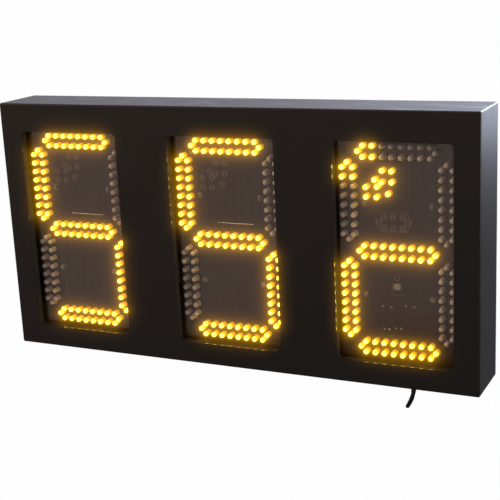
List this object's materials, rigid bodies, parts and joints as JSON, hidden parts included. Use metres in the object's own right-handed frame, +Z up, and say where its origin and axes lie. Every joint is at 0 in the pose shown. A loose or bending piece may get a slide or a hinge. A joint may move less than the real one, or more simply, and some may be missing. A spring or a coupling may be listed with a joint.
{
  "type": "led number sign",
  "caption": "Outdoor amber LED seven-segment number sign in a folded sheet-metal cabinet, with recessed windows, a rear service door, slotted mounting rails and a thin supply lead.",
  "frame": {"origin": "centre of the four mounting slots, on the plane of the rail crowns where the posts meet the sign", "axes": "+X to the viewer's right along the row of digits, +Z up, and +Y rearwards from the front to the posts; the lit front looks along -Y"},
  "size_m": [0.503, 0.085, 0.3066],
  "materials": {
    "cabinet_paint": "fine matt powder coat, near black with a brown cast",
    "clear_acrylic": "clear polished acrylic sheet",
    "black_rubber": "matt closed-cell rubber",
    "zinc_steel": "bright zinc plate",
    "hinge_steel": "plain stainless steel",
    "galvanised": "dull galvanised sheet",
    "lit_diode": "water-clear resin, lit amber",
    "dark_diode": "water-clear resin, not lit",
    "circuit_board": "dark solder mask",
    "white_nylon": "natural nylon",
    "chip_plastic": "moulded epoxy",
    "component_mix": "moulded epoxy and sleeved cans",
    "terminal_green": "moulded polyamide",
    "grey_ribbon": "ribbed vinyl ribbon",
    "latch_zinc": "die-cast, bright plated",
    "gland_nylon": "moulded black nylon",
    "lead_sheath": "smooth black vinyl sheath",
    "tie_nylon": "black nylon strap",
    "plug_metal": "nickel plate"
  },
  "bodies": {
    "cabinet": {"board_left": "circuit_board", "board_middle": "circuit_board", "board_nuts": "zinc_steel", "board_right": "circuit_board", "board_screws": "zinc_steel", "board_spacers": "white_nylon", "coil_peg": "zinc_steel", "coil_tie": "tie_nylon", "controller_board": "circuit_board", "controller_chips": "component_mix", "controller_supports": "white_nylon", "cross_rail_lower": "galvanised", "cross_rail_upper": "galvanised", "dark_leds_left": "dark_diode", "dark_leds_middle": "dark_diode", "dark_leds_right": "dark_diode", "driver_chips": "chip_plastic", "front_shell": "cabinet_paint", "gland_body": "gland_nylon", "gland_nut": "gland_nylon", "gland_seal": "black_rubber", "hinge_leaves": "hinge_steel", "hinge_pins": "zinc_steel", "hinge_rivets": "zinc_steel", "inner_lead": "lead_sheath", "lead": "lead_sheath", "lead_coil": "lead_sheath", "lead_plug": "lead_sheath", "lead_plug_barrel": "plug_metal", "lead_tail": "lead_sheath", "lit_leds_left": "lit_diode", "lit_leds_middle": "lit_diode", "lit_leds_right": "lit_diode", "mounting_rail_left": "galvanised", "mounting_rail_right": "galvanised", "mounting_rail_screws": "zinc_steel", "pane_clips": "zinc_steel", "pane_gaskets": "black_rubber", "pane_left": "clear_acrylic", "pane_middle": "clear_acrylic", "pane_right": "clear_acrylic", "panel_screws": "zinc_steel", "rail_brackets": "zinc_steel", "rail_screws": "zinc_steel", "rear_panel": "cabinet_paint", "ribbon_headers": "chip_plastic", "ribbon_left": "grey_ribbon", "ribbon_middle": "grey_ribbon", "ribbon_right": "grey_ribbon", "terminal_block": "terminal_green"},
    "door": {"door": "cabinet_paint", "door_seal": "black_rubber", "door_hinge_leaves": "hinge_steel", "door_rivets": "zinc_steel", "latch_housings": "latch_zinc", "latch_nuts": "zinc_steel"},
    "latch_upper": {"latch_upper_rotor": "latch_zinc", "latch_upper_cam": "latch_zinc"},
    "latch_lower": {"latch_lower_rotor": "latch_zinc", "latch_lower_cam": "latch_zinc"}
  },
  "joints": [
    {"name": "door_hinge", "type": "hinge", "parent": "cabinet", "child": "door", "pos_m": [-0.17, -0.0195, 0], "axis": [0, 0, 1], "range_deg": [0, 90]},
    {"name": "latch_upper_turn", "type": "hinge", "parent": "door", "child": "latch_upper", "pos_m": [0.067, -0.02, 0.055], "axis": [0, 1, 0], "range_deg": [0, 90]},
    {"name": "latch_lower_turn", "type": "hinge", "parent": "door", "child": "latch_lower", "pos_m": [0.067, -0.02, -0.055], "axis": [0, 1, 0], "range_deg": [0, 90]}
  ]
}
